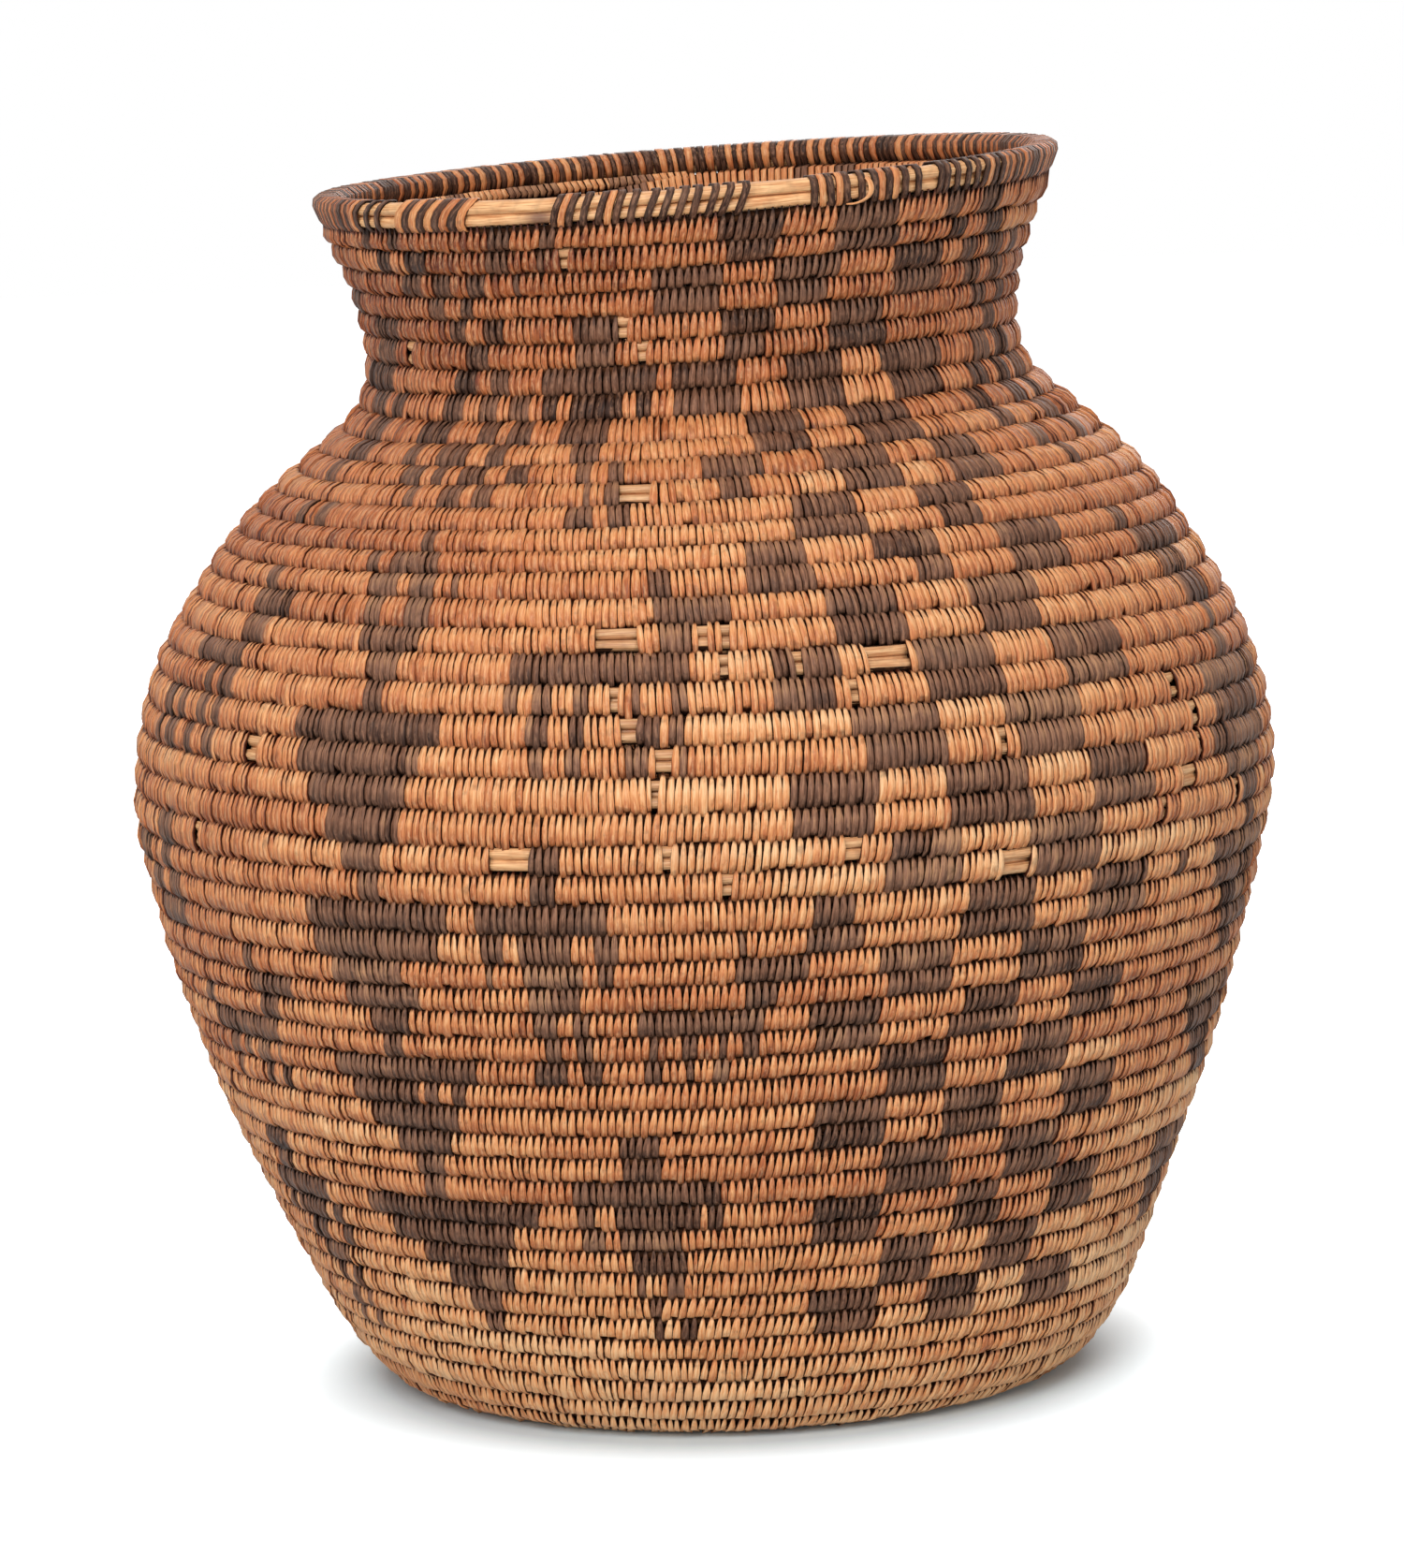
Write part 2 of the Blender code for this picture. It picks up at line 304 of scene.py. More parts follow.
def shoot_wood(name, pale, brown, soil_share, roughness=0.5, specular=0.5):
    """Peeled shoot: the bark is stripped while the wood is green, which leaves it smooth and straw-coloured,
    with fine fibres along it, brown where the hand or the splint has soiled it, and a dull shine."""
    material, tree, shader = start_material(name)
    along = add_node(tree, "Attribute", attribute_name="grain")
    # Fibres 0.1 mm wide, drawn 0.3 mm wide, and 8 mm long, and soiled places about 3 mm across
    fibre_scale = add_node(tree, "VectorMath", {0: along.outputs["Vector"], 1: (3.0, 0.12, 1.0)},
                           operation="MULTIPLY")
    fibre = add_node(tree, "TexNoise", {"Vector": fibre_scale.outputs[0], "Scale": 1.0, "Detail": 3.0})
    tone = add_node(tree, "MapRange", {"Value": fibre.outputs["Fac"], "From Min": 0.35, "From Max": 0.65})
    wood = mix(tree, tone.outputs[0], linear(brown), pale)
    stain = add_node(tree, "TexNoise", {"Vector": along.outputs["Vector"], "Scale": 0.35, "Detail": 2.0})
    soil = add_node(tree, "MapRange", {"Value": stain.outputs["Fac"], "From Min": 0.5,
                    "From Max": 0.8, "To Max": soil_share})
    soiled = mix(tree, soil.outputs[0], wood, "#6e4428")
    bruise = add_node(tree, "Attribute", attribute_name="stain")
    bruised = mix(tree, bruise.outputs["Fac"], soiled, "#5a3833")
    tree.links.new(bruised, shader.inputs["Base Color"])
    shader.inputs["Roughness"].default_value = roughness
    shader.inputs["Specular IOR Level"].default_value = specular
    bump = add_node(tree, "Bump", {"Height": fibre.outputs["Fac"], "Strength": 0.25, "Distance": 0.0002})
    tree.links.new(bump.outputs[0], shader.inputs["Normal"])
    return material


def write_grain(data, values):
    """Keeps each corner's place across and along the fibres, in millimetres, for the wood's pattern."""
    grain = data.attributes.new("grain", "FLOAT_VECTOR", "POINT")
    grain.data.foreach_set("vector", np.asarray(values, np.float32).ravel())


def read_places(data):
    """A mesh's points as an array."""
    places = np.empty(len(data.vertices) * 3)
    data.vertices.foreach_get("co", places)
    return places.reshape(-1, 3)


def shoot_grain(data, line_points, sides, radius):
    """The grain of tubes that a curve's bevel made: round the shoot and along it, in millimetres."""
    rings = read_places(data).reshape(-1, line_points, sides, 3)
    steps = np.linalg.norm(np.diff(rings.mean(2), axis=1, prepend=rings.mean(2)[:, :1]), axis=2)
    along = np.repeat(np.cumsum(steps, 1), sides, 1).ravel() * 1000
    turned = np.tile(np.arange(sides) * FULL_TURN / sides * radius * 1000, along.size // sides)
    write_grain(data, np.stack([turned, along, np.arange(along.size) // (line_points * sides) * 9.0], 1))


# Painted shade: dark brown colours for the hidden shoots, so that the depths between the stitches read as
# shade
foundation_shade_wood = shoot_wood("shade_dark_peeled_shoot", "#3a1f10", "#1f1008", 0.9, 0.85, 0.1)
runs = np.linspace(SHOOT_END * FULL_TURN, (COIL_END - 0.5) * FULL_TURN, FOUNDATION_POINTS)
for number, (side, depth) in enumerate(SHOOT_SPOTS, 1):
    name = f"foundation_shoot_{number}"
    data = tube(name, [shoot_line(runs, side, depth)], FOUNDATION_RADIUS)
    shoot_grain(data, FOUNDATION_POINTS, SHOOT_SIDES, FOUNDATION_RADIUS)
    finish_piece(name, data, foundation_shade_wood, "peeled_shoot")

# The stitches: one split splint, a few hand-spans long, is drawn round the coil again and again. Each stitch
# comes out between two of the turn below, broad and round at its foot, and its head is pinched to a point
# by the next turn's. Willow gives the light ones and seed-pod skin the dark ones.
STITCH_STATIONS = 10
TURN_HEIGHT = 6.7
# The middle of a turn's bundle: down from the turn's upper edge and in from the wall's face, in mm
BUNDLE_MIDDLE = (TURN_HEIGHT / 2, 3.6)
STITCH_PATH = (
    # share of the turn's height, depth in mm, width as a share of the spacing, the part of that width which
    # a tight pinch takes, and thickness in mm
    (-0.06, 2.45, 0.24, 0.10, 0.36),
    (0.04, 1.44, 0.66, 0.42, 0.52),
    (0.19, 0.70, 0.99, 0.38, 0.62),
    (0.46, 0.28, 1.03, 0.06, 0.70),
    (0.74, 0.46, 1.04, 0.00, 0.72),
    (0.97, 1.32, 0.99, 0.00, 0.64),
    (1.12, 2.40, 0.58, 0.00, 0.46),
    (1.07, 3.80, 0.38, 0.00, 0.30),
    (0.78, 6.70, 0.95, 0.00, 0.50),
    (0.24, 6.70, 0.90, 0.00, 0.50),
)
# How far the first turn's heads reach over the rim's shoots, as a share of the turn, and out, in mm
FIRST_REACH = 0.12
FIRST_RISE = (1.6, 0.6)
# By turns below the rim: the stitches' spacing in mm, how many steps they lean and how much of that comes and
# goes round the basket, how tight their heads are pinched, and how light they are. Near the foot the light
# stitches' tones rise, as painted light from the bright floor.
SPACINGS = ((0, 1.85), (3, 1.95), (9, 2.02), (15, 1.98), (18, 1.93), (21, 1.84), (24, 1.78), (42, 1.81),
            (48, 1.93), (60, 2.0))
STITCH_LEANS = ((0, 0.35), (6, 0.35), (10, 0.1), (26, 0.08), (34, 0.3), (42, 0.45), (48, 0.5), (60, 0.3))
LEAN_SWAYS = ((0, 0.3), (8, 0.25), (14, 0.0), (60, 0.0))
PINCHES = ((0, 1.0), (8, 0.95), (13, 0.65), (25, 0.75), (28, 1.0), (38, 0.95), (43, 0.95), (60, 0.8))
TONES = ((0, 0.35), (5, 0.37), (8, 0.54), (11, 0.7), (15, 0.72), (18, 0.76), (25, 0.76), (28, 0.52),
         (39, 0.52), (43, 0.75), (46, 0.86), (60, 0.84))
DARK_TONES = ((0, 0.42), (8, 0.46), (10, 0.64), (14, 0.68), (24, 0.66), (30, 0.56), (60, 0.6))
# Painted light and shade: how much a stitch is painted lighter above and darker below, as lamps above would
# light it, by turn and down a stitch
PAINTED_LIGHT_GRADES = ((0, -0.5), (7, -0.3), (11, 0.7), (15, 1.0), (34, 1.0), (42, 0.1), (60, -0.4))
PATH_PAINTED_LIGHT = (0.0, 0.05, 0.11, 0.07, -0.15, -0.18, -0.2, 0.0, 0.0, 0.0)
# How much brown soil and painted shade darken a stitch down its length, most at its head and foot, where it
# dives between the turns, and in the grooves along its sides
PATH_SOIL_AND_SHADE = (1.0, 0.5, 0.06, 0.02, 0.03, 0.24, 0.95, 0.8, 0.0, 0.0)
SIDE_SOIL_AND_SHADE = 1.1
# How much lighter or darker the wall is made at some places, part its own colour and part painted light and
# shade at its sides: rows under the rim, and columns at these angles from the front or the back, with the
# sides between them
PATINA_AND_LIGHT_ANGLES = (-90, -60, -25, 0, 25, 60, 90)
PATINA_AND_PAINTED_LIGHT = (
    (0, -0.05, -0.05, 0.0, 0.06, 0.15),
    (8, -0.18, -0.08, 0.0, -0.03, -0.08),
    (14, -0.22, -0.18, 0.0, -0.05, -0.18),
    (24, -0.19, -0.12, 0.0, 0.06, -0.17),
    (30, -0.08, 0.0, 0.0, 0.05, 0.05),
    (37, 0.14, 0.0, 0.0, 0.0, 0.18),
    (44, -0.06, 0.08, 0.0, -0.04, 0.12),
    (50, -0.3, 0.08, 0.05, -0.12, 0.0),
)
# Painted light: how much lighter the stitches are painted inside, where less of the lamps' light reaches
INSIDE_PAINTED_LIGHT = 0.3
# How much the steps between stitches differ, how many steps away a gap may lie, how far on a second stitch in
# the same gap goes, and how much a head is drawn towards its foot
STEP_SPREAD = 0.07
GAP_REACH = 0.7
SHARED_STEP = 0.45
HEAD_PULL = 0.2
hand = np.random.default_rng(11)


def read_table(table, places):
    """Values from a table of pairs, in straight lines from each to the next."""
    return np.interp(places, *zip(*table))


def sew_stitches(start, end):
    """Where each stitch's head and foot lie, as angles wound from the rim's seam, in the maker's order from
    the floor up. A foot takes the next gap in the turn below. Where the wall widens and the gap lies too far
    back, two stitches share one, and where it narrows a gap is missed."""
    tenths = np.arange(0, 61, 0.1)
    radii = profile_point(np.minimum(tenths, INNER_TURN))[:, 0]
    steps = (read_table(SPACINGS, tenths) / 1000 / radii).tolist()
    leans = read_table(STITCH_LEANS, tenths).tolist()
    sways = read_table(LEAN_SWAYS, tenths).tolist()
    loose = hand.normal(0, STEP_SPREAD, 40000).tolist()
    heads, feet = [start], [start]
    below = 0
    while heads[-1] > end:
        place = int(heads[-1] / FULL_TURN * 10)
        step = steps[place] * (1 + loose[len(heads)])
        wanted = heads[-1] - step
        if wanted > start - FULL_TURN:
            heads.append(wanted)
            feet.append(wanted)
            continue
        lean = (leans[place] - sways[place] * math.cos(heads[-1] + SEAM_ANGLE)) * step
        gap = (heads[below] + heads[below + 1]) / 2 - FULL_TURN
        while gap + lean - wanted > GAP_REACH * step:
            below += 1
            gap = (heads[below] + heads[below + 1]) / 2 - FULL_TURN
        if wanted - gap - lean > GAP_REACH * step:
            feet.append(feet[-1] - SHARED_STEP * step)
            heads.append(wanted)
            continue
        below += 1
        feet.append(gap)
        heads.append((1 - HEAD_PULL) * wanted + HEAD_PULL * (gap + lean))
    return np.array(heads), np.array(feet)


heads, feet = sew_stitches(COIL_END * FULL_TURN, SEWING_END * FULL_TURN)
head_spacing = np.clip(-np.gradient(heads), 0, None)
stitch_turn = (heads / FULL_TURN).astype(int)
stitch_angle = np.degrees((heads + feet) / 2 + SEAM_ANGLE - stitch_turn * FULL_TURN)


def splint_tones(count, shortest, longest, spread):
    """A tone for each stitch: one splint's stitches share theirs, with a little change along it."""
    tones = np.zeros(count)
    place = 0
    while place < count:
        length = int(hand.integers(shortest, longest))
        drift = np.linspace(0, hand.normal(0, spread / 3), length)
        tones[place : place + length] = (hand.normal(0, spread) + drift)[: count - place]
        place += length
    return tones + hand.normal(0, spread / 2.5, count)


# The pattern, counted down from the rim. Each row gives the dark stretches by their edges in degrees: 0 is
# the right-hand side, -90 the front and -180 the left. It stands twice round the basket.
CHART = {}


def mark(first_row, *rows):
    """Adds dark stretches to the chart, one row after the other, as edges in degrees."""
    for row, edges in enumerate(rows, first_row):
        CHART.setdefault(row, []).extend(zip(edges[::2], edges[1::2]))


# Checks, two turns high and about ten stitches long, from the middle of the front to the right
mark(1, (-85, -76, -66.5, -56, -46.5, -42), (-84, -76, -66, -55, -43, -40))
mark(3, (-96, -84.5, -76, -65.5, -54.5, -44), (-95.5, -85, -76, -66.5, -54.5, -43))
mark(5, (-85, -75.5, -66.5, -55.5), (-84, -77, -66, -55.5))
mark(7, (-93, -83, -74.5, -64.5, -56, -43), (-92.5, -82.5, -74, -65, -55, -45))
mark(9, (-82, -73.5, -66, -55), (-81.5, -73, -64.5, -55))
mark(11, (-89, -80.5, -72, -62.5, -55.5, -47), (-87.5, -83.5, -70.5, -62, -54.5, -46.5))
mark(13, (-78.5, -70, -62.5, -54.5), (-78.5, -70, -60, -54))
mark(15, (-85, -77.5, -69.5, -62, -53, -44), (-85, -77, -65, -61, -52.5, -44))
mark(17, (-76.5, -69, -60, -51), (-76, -68.5, -59.5, -51.5))
mark(19, (-83, -76, -68, -59.5, -51.5, -42), (-83, -77, -67.5, -59, -51, -42))
mark(21, (-75.5, -67, -59.5, -50.5), (-74.5, -66.5, -58.5, -50.5))
mark(23, (-82, -74, -67, -58.5, -50.5, -42.5), (-82, -74, -66.5, -58, -50.5, -42))
mark(25, (-73, -65.5, -58, -50), (-73, -65.5, -57.5, -50))
mark(27, (-80.5, -76, -65, -57, -50.5, -42.5), (-80.5, -75.5, -65.5, -57, -50, -42.5))
mark(29, (-73.5, -66, -58, -50.5), (-73, -66, -58, -50.5))
mark(31, (-80.5, -73.5, -64, -58, -51, -44), (-80, -73, -66, -58, -51, -44))
mark(33, (-73, -65.5, -57, -50), (-72.5, -65.5, -58, -50))
mark(35, (-80, -72.5, -65.5, -58, -50, -41.5), (-80, -72.5, -65, -58, -49, -41.5))
mark(37, (-72, -64, -57, -49.5), (-71.5, -63.5, -56.5, -48))
mark(39, (-80, -71.5, -62.5, -56.5, -48.5, -39.5), (-79.5, -71.5, -62, -56, -48, -39.5))
mark(41, (-71.5, -64, -57, -49), (-71, -64, -57, -48.5))
mark(43, (-80, -71.5, -64.5, -56.5, -49, -40), (-79.5, -71.5, -64, -56.5, -48.5, -39.5))
# Hanging triangles, one under the other, at the left and at the right
mark(14, (-125, -122.5), (-132, -130, -127.5, -121), (-130.5, -126, -124, -121, -118.5, -117.5),
     (-129, -126.5, -123.5, -120), (-128.5, -121), (-126.5, -122.5), (-125.5, -123.5))
mark(21, (-134, -116), (-132.5, -118), (-131, -119.5), (-128.5, -120), (-127, -122), (-125.5, -123))
mark(27, (-132, -116), (-132, -117.5), (-130, -121.5), (-129, -120.5), (-126.5, -122.5), (-125.5, -123.5))
mark(33, (-133.5, -115.5), (-131.5, -123, -122, -120.5, -118.5, -117), (-130, -119), (-127.5, -120.5),
     (-126, -122.5), (-125.5, -123))
mark(39, (-136, -112), (-133.5, -115.5), (-130, -117), (-127, -118), (-125, -120.5), (-123.5, -121))
mark(15, (-32.5, -29), (-30, -17), (-27, -20), (-25, -18), (-23, -20), (-24, -21))
mark(21, (-30, -12), (-29, -15), (-31, -15), (-28, -18), (-24, -19), (-23, -20))
mark(27, (-37, -35, -30, -14), (-28, -15), (-26, -17), (-24, -14), (-23, -19))
mark(33, (-29, -14), (-27, -15), (-25, -17), (-22, -15))
mark(39, (-26, -12), (-25, -14), (-24, -16), (-23, -18))
# Small people: a head, arms held out with the hands hanging, a body and two legs
mark(5, (-109.5, -102.5), (-109, -103), (-116.5, -96.5), (-115.5, -113, -110, -101.5, -99, -96.5),
     (-111, -103), (-108, -104), (-106.5, -104, -102.5, -100), (-105, -103.5, -101.5, -100),
     (-106.5, -103, -101, -98))
mark(25, (-107.5, -104), (-106.5, -104.5), (-112.5, -100), (-112.5, -110.5, -109, -103.5, -101, -99),
     (-112.5, -111.5, -108.5, -102.5, -101, -99.5), (-108.5, -103), (-108.5, -106, -104.5, -102.5),
     (-107.5, -105.5, -104, -102.5), (-108.5, -105.5, -104, -102))
mark(36, (-100.5, -96.5), (-100.5, -97), (-107, -90), (-107, -105.5, -102.5, -93, -92, -90),
     (-107, -104, -102, -95), (-101.5, -95), (-101.5, -100, -97.5, -96), (-100.5, -99, -96, -95),
     (-100.5, -99.5, -97, -95))
mark(37, (-154.5, -149), (-153.5, -150), (-157, -144), (-157, -155, -153.5, -147.5, -145, -143),
     (-153, -149.5, -145, -143), (-153, -146.5), (-151.5, -149.5, -147.5, -145.5),
     (-151.5, -149, -147.5, -145.5), (-151.5, -150, -147.5, -146.5))
# Small four-footed animals that look to the right: an ear, a muzzle, a neck, a back and four legs
mark(16, (-95.5, -93), (-94.5, -87), (-94.5, -91), (-109.5, -107.5, -107, -91),
     (-109.5, -108, -107, -105, -103, -101.5, -97, -96, -93, -91.5),
     (-107, -105, -103, -101.5, -97, -94, -93, -91.5),
     (-107, -105, -103.5, -101.5, -97.5, -95, -92.5, -91.5))
mark(28, (-87.5, -86.5), (-87.5, -81), (-87, -84), (-97.5, -85),
     (-97, -95.5, -93.5, -92, -90, -88.5, -87, -85.5), (-97, -95.5, -93.5, -92, -90.5, -88.5))
mark(29, (-144.5, -143), (-144, -137), (-156, -153.5, -143.5, -140.5), (-155, -142),
     (-153, -151.5, -150, -148.5, -147, -145, -143, -142), (-153.5, -152, -147, -145.5, -143.5, -142))
mark(16, (-148.5, -146.5), (-148.5, -141), (-148, -144), (-157, -146), (-152, -150.3, -149, -145.5),
     (-161.5, -159, -157, -155, -152, -150, -148.5, -146.5),
     (-163, -161, -159, -156, -153.5, -151.5, -149, -147))
mark(25, (-158.5, -155), (-170, -163, -159, -156), (-165, -161, -158.5, -155.5), (-164, -156))
# Steps that run down and round the neck, left of the front and at the right
mark(1, (-151.5, -149, -144, -141, -122, -118, -113.5, -110.5),
     (-149.5, -145, -141, -136.5, -124, -120, -115, -113.5),
     (-144.5, -139.5, -136.5, -132, -129, -125, -120, -118.5), (-173, -165, -138.5, -135, -131.5, -128),
     (-160, -150, -135, -131, -127, -123.5), (-159.5, -153, -131.5, -126.5),
     (-168, -154, -134.5, -130.5, -126, -122.5),
     (-162, -155, -152.5, -148.5, -137, -132, -128, -124.5, -121.5, -118.5),
     (-157, -150, -139, -132, -126.5, -123, -120, -116), (-155, -148, -139, -136, -131, -126, -122, -119),
     (-155, -152, -136, -132, -130, -127, -124, -120, -117.5, -114), (-132, -130.5, -126, -123, -120.5, -118),
     (-152, -150, -147, -144.5))
mark(1, (-37.5, -32), (-33.5, -28.5), (-39.5, -35.5, -30.5, -25.5, -21.5, -18), (-37.5, -32.5, -28, -22.5),
     (-33.5, -28.5, -24, -19.5), (-28.5, -24.5), (-32.5, -27.5, -25, -20),
     (-37, -32, -28, -23.5, -20.5, -14.5), (-40.5, -35.5, -30, -24, -21, -16.5), (-39.5, -35, -26, -21),
     (-35, -32, -22, -18), (-32, -29))

is_dark = np.zeros(len(heads), bool)
for row, stretches in CHART.items():
    for left, right in stretches:
        for turned in (0, 180, -180):
            is_inside = (stitch_angle > left + turned) & (stitch_angle < right + turned)
            is_dark |= (stitch_turn == row - 1) & is_inside

# Places where the splint has worn through and the shoots lie bare: turn, angle in degrees, and stitches lost.
# The shoots show a little way under the stitches beside them, and are soiled by a different share each.
WORN = (
    (18, -98.9, 5), (19, -71.2, 6), (25, -109.0, 5), (26, -59.7, 4), (22, -140.0, 3), (12, -98.2, 4),
    (22, -93.5, 2), (25, -76.5, 2), (18, -87.5, 1), (18, -89.6, 1), (19, -87.5, 1), (19, -80.0, 1),
    (20, -99.0, 1), (21, -97.5, 2), (23, -95.0, 1), (25, -93.5, 1), (26, -88.5, 1), (20, -75.5, 1),
    (22, -60.0, 1), (6, -147.0, 2), (2, -109.7, 1), (6, -98.5, 1), (5, -101.5, 1), (21, -35.7, 2),
    (22, -33.2, 2), (24, -36.2, 3), (25, -40.7, 1), (25, -25.7, 2), (25, -149.0, 1), (23, -33.0, 1),
    (20, 60.0, 5), (31, 110.0, 3), (14, 35.0, 4), (24, -200.0, 2), (36, -235.0, 3),
)
BARE_SPOTS = ((-0.86, 0.0019), (0.86, 0.0019), (0, 0.0034))
BARE_REACH = 0.9
NECK_TURNS = 8
NECK_STAIN = 0.15
BARE_STAINS = (0.05, 0.3)
is_lost = np.zeros(len(heads), bool)
bare_spans, bare_stains = [], []
for row, angle, lost in WORN:
    nearest = np.where(stitch_turn == row - 1, np.abs(stitch_angle - angle), 999).argsort()[:lost]
    is_lost[nearest] = True
    spare = BARE_REACH * head_spacing[nearest].mean()
    bare_spans.append((heads[nearest].min() - spare, heads[nearest].max() + spare))
    stain = NECK_STAIN if row <= NECK_TURNS else float(hand.uniform(*BARE_STAINS))
    bare_stains += [stain] * len(BARE_SPOTS)


def splint(name, colours, soil_and_shade_colour, bloom_colour, bloom_share, rub_and_highlight_colour, rub_and_highlight_share, shine, gloss):
    """Split splint: a shoot or a pod is split by hand into flat strips and scraped, which leaves long fibres
    that catch the light as streaks, a rounded outer skin that is rubbed through along its ridge, where a
    painted highlight lies too, patches that age has turned, and brown soil and painted shade where stitches
    meet."""
    material, tree, shader = start_material(name)
    grain = add_node(tree, "Attribute", attribute_name="grain")
    tone = add_node(tree, "Attribute", attribute_name="tone")
    soil = add_node(tree, "Attribute", attribute_name="soil")
    # Fibres 0.1 mm wide, drawn 0.4 mm wide, and 4 mm long
    stretched = add_node(tree, "VectorMath", {0: grain.outputs["Vector"], 1: (2.4, 0.25, 1.0)},
                         operation="MULTIPLY")
    fibre = add_node(tree, "TexNoise", {"Vector": stretched.outputs[0], "Scale": 1.0,
                     "Detail": 2.0, "Roughness": 0.6})
    streak = add_node(tree, "Math", {0: fibre.outputs["Fac"], 1: 1.2, 2: -0.6}, operation="MULTIPLY_ADD")
    shade = add_node(tree, "Math", {0: tone.outputs["Fac"], 1: streak.outputs[0]}, operation="ADD")
    ramp = add_node(tree, "ValToRGB", {"Fac": shade.outputs[0]})
    stops = ramp.color_ramp.elements
    stops[0].color = linear(colours[0])
    stops[1].color = linear(colours[-1])
    for number, colour in enumerate(colours[1:-1], 1):
        stops.new(number / (len(colours) - 1)).color = linear(colour)
    # Patches of turned colour about 10 mm across
    patch = add_node(tree, "TexCoord")
    patch = add_node(tree, "TexNoise", {"Vector": patch.outputs["Object"], "Scale": 90.0, "Detail": 2.0})
    patch = add_node(tree, "MapRange", {"Value": patch.outputs["Fac"], "From Min": 0.5,
                     "From Max": 0.68, "To Max": bloom_share})
    turned = mix(tree, patch.outputs[0], ramp.outputs["Color"], bloom_colour)
    # Rubbed ridges with a painted highlight: the middle millimetre of the strip is lighter, in scuffs 0.6 mm
    # wide and 2 mm long
    across = add_node(tree, "SeparateXYZ", {"Vector": grain.outputs["Vector"]})
    across = add_node(tree, "Math", {0: across.outputs["X"]}, operation="ABSOLUTE")
    ridge = add_node(tree, "MapRange", {"Value": across.outputs[0], "From Min": 0.15,
                     "From Max": 0.75, "To Min": rub_and_highlight_share, "To Max": 0.0})
    scuff = add_node(tree, "VectorMath", {0: grain.outputs["Vector"], 1: (1.6, 0.55, 1.0)},
                     operation="MULTIPLY")
    scuff = add_node(tree, "TexNoise", {"Vector": scuff.outputs[0], "Scale": 1.0, "Detail": 3.0,
                     "Roughness": 0.65})
    scuff = add_node(tree, "MapRange", {"Value": scuff.outputs["Fac"], "From Min": 0.45, "From Max": 0.6})
    rubbed = add_node(tree, "Math", {0: ridge.outputs[0], 1: scuff.outputs[0]}, operation="MULTIPLY")
    worn = mix(tree, rubbed.outputs[0], turned, rub_and_highlight_colour)
    # Soil and painted shade in blotches about 2 mm across
    blotch = add_node(tree, "TexNoise", {"Vector": grain.outputs["Vector"], "Scale": 0.45, "Detail": 3.0})
    soiled = add_node(tree, "Math", {0: soil.outputs["Fac"], 1: blotch.outputs["Fac"]}, operation="ADD")
    soiled = add_node(tree, "MapRange", {"Value": soiled.outputs[0], "From Min": 0.6, "From Max": 0.98})
    colour = mix(tree, soiled.outputs[0], worn, soil_and_shade_colour)
    tree.links.new(colour, shader.inputs["Base Color"])
    rough = add_node(tree, "MapRange", {"Value": fibre.outputs["Fac"], "To Min": shine,
                     "To Max": shine + 0.25})
    tree.links.new(rough.outputs[0], shader.inputs["Roughness"])
    shader.inputs["Specular IOR Level"].default_value = gloss
    bump = add_node(tree, "Bump", {"Height": fibre.outputs["Fac"], "Strength": 0.5, "Distance": 0.0004})
    tree.links.new(bump.outputs[0], shader.inputs["Normal"])
    return material


# The soil colours also paint the shade in the grooves between the stitches
willow = splint("split_willow", ("#6c3019", "#a3552a", "#ca7847", "#e4995f", "#f6c08c"), "#451905",
                "#bd683a", 0.3, "#f9c896", 0.35, 0.38, 0.35)
pod_skin = splint("split_seed_pod", ("#24140d", "#432a1f", "#684432", "#8c6049", "#b98762"), "#1f0e06",
                  "#5c473c", 0.35, "#9e7258", 0.65, 0.36, 0.18)

# One stitch is a flat band with a rounded back, closed round the coil. It is spun from its section, and a
# straight row of such rings is then bent onto the coil.
RING_FACE = 1.0
RING_BACK = 1.2
# Where the back starts to round off, in widths from the middle
STITCH_CROWN = 0.43
CELL_MARGIN = 0.06
ring = bmesh.new()
section = [ring.verts.new(spot) for spot in (
    (RING_FACE, 0, -0.5), (RING_BACK, 0, -STITCH_CROWN), (RING_BACK, 0, STITCH_CROWN), (RING_FACE, 0, 0.5),
)]
sides = [ring.edges.new((section[place - 1], section[place])) for place in range(4)]
bmesh.ops.spin(ring, geom=section + sides, cent=(0, 0, 0), axis=(0, 0, 1), angle=FULL_TURN,
               steps=STITCH_STATIONS, use_merge=True)
bmesh.ops.recalc_face_normals(ring, faces=ring.faces)
ring_data = bpy.data.meshes.new("ring")
ring.to_mesh(ring_data)
ring.free()
for face in ring_data.polygons:
    face.use_smooth = True


def row_of_rings(count):
    """A straight row of rings, two units apart, with each point's ring, side, station and whether it is on
    the rounded back."""
    item = put_in_scene("row", ring_data)
    row = item.modifiers.new("row", "ARRAY")
    row.count = count
    row.use_relative_offset = False
    row.use_constant_offset = True
    row.constant_offset_displace = (0, 0, 2)
    data = take_mesh(item)
    places = read_places(data)
    number = np.round(places[:, 2] / 2).astype(int)
    side = places[:, 2] - 2 * number
    turned = np.arctan2(places[:, 1], places[:, 0]) / FULL_TURN
    station = np.round(turned * STITCH_STATIONS).astype(int) % STITCH_STATIONS
    is_back = np.hypot(places[:, 0], places[:, 1]) > (RING_FACE + RING_BACK) / 2
    return data, number, side, station, is_back


def raise_back(first, second, middle, thickness):
    """Moves points of a section away from its middle by a splint's thickness."""
    off_first, off_second = first - middle[0], second - middle[1]
    share = thickness / np.hypot(off_first, off_second)
    return first + share * off_first, second + share * off_second


def set_places(data, places):
    """Puts a mesh's points in their places."""
    data.vertices.foreach_set("co", places.astype(np.float32).ravel())
    data.update()


def write_number(data, name, values):
    """Keeps one number for each point of a mesh."""
    kept = data.attributes.new(name, "FLOAT", "POINT")
    kept.data.foreach_set("value", np.asarray(values, np.float32))


